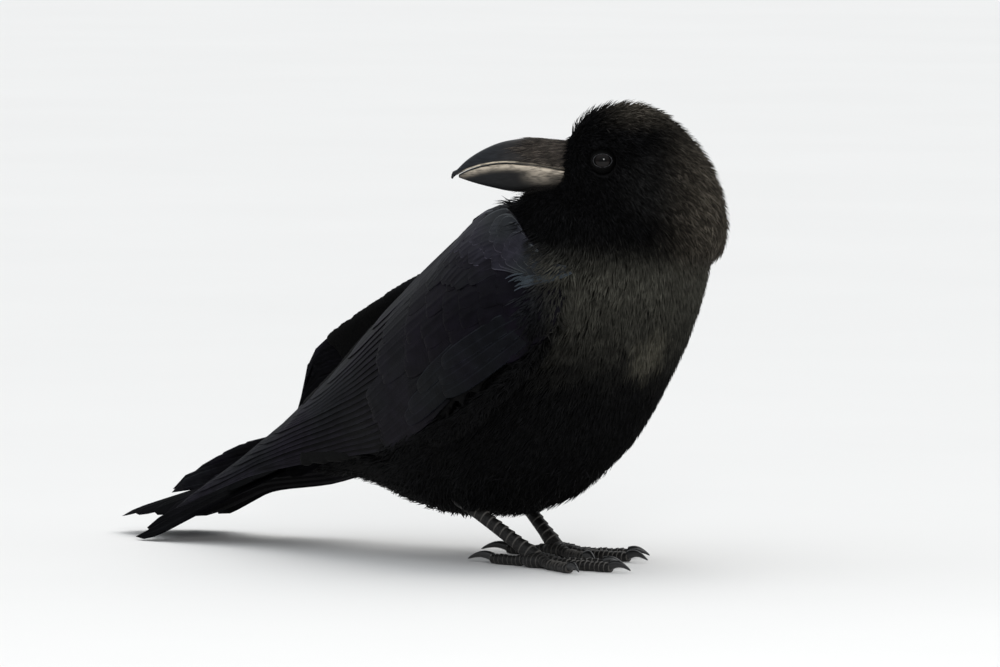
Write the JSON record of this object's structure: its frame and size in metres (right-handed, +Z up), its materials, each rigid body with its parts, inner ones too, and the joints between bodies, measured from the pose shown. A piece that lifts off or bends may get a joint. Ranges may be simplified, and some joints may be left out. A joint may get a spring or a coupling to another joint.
{
  "type": "large-billed crow model",
  "caption": "Still, life-size model of a large-billed crow: black plumage, deep arched bill, head turned back over the right shoulder, wings folded over the tail.",
  "frame": {"origin": "on the floor, under the middle of the bird's bounding box", "axes": "+X the way the breast faces, away from the tail; +Y towards the bird's left wing; +Z up. The head is turned about 142 degrees to the right, so the bill points back and to the bird's right"},
  "size_m": [0.3786, 0.1412, 0.2311],
  "materials": {
    "plumage": "soft black feathers, browner on the nape and breast",
    "wing_plumage": "black vanes with a faint blue-violet gloss",
    "bill_horn": "dark grey horn with a paler cutting edge",
    "eye": "wet, very dark brown",
    "leg_scales": "black scaled skin",
    "claw_horn": "black horn"
  },
  "bodies": {
    "root": {"bill_lower": "bill_horn", "bill_upper": "bill_horn", "claw_left_hind": "claw_horn", "claw_left_inner": "claw_horn", "claw_left_middle": "claw_horn", "claw_left_outer": "claw_horn", "claw_right_hind": "claw_horn", "claw_right_inner": "claw_horn", "claw_right_middle": "claw_horn", "claw_right_outer": "claw_horn", "eye_left": "eye", "eye_right": "eye", "head": "plumage", "neck": "plumage", "rump": "plumage", "tail": "wing_plumage", "tarsus_left": "leg_scales", "tarsus_right": "leg_scales", "thigh_left": "plumage", "thigh_right": "plumage", "toe_left_hind": "leg_scales", "toe_left_inner": "leg_scales", "toe_left_middle": "leg_scales", "toe_left_outer": "leg_scales", "toe_right_hind": "leg_scales", "toe_right_inner": "leg_scales", "toe_right_middle": "leg_scales", "toe_right_outer": "leg_scales", "trunk": "plumage", "wing_left_coverts": "wing_plumage", "wing_left_primaries": "wing_plumage", "wing_left_secondaries": "wing_plumage", "wing_right_coverts": "wing_plumage", "wing_right_primaries": "wing_plumage", "wing_right_secondaries": "wing_plumage"}
  },
  "joints": []
}
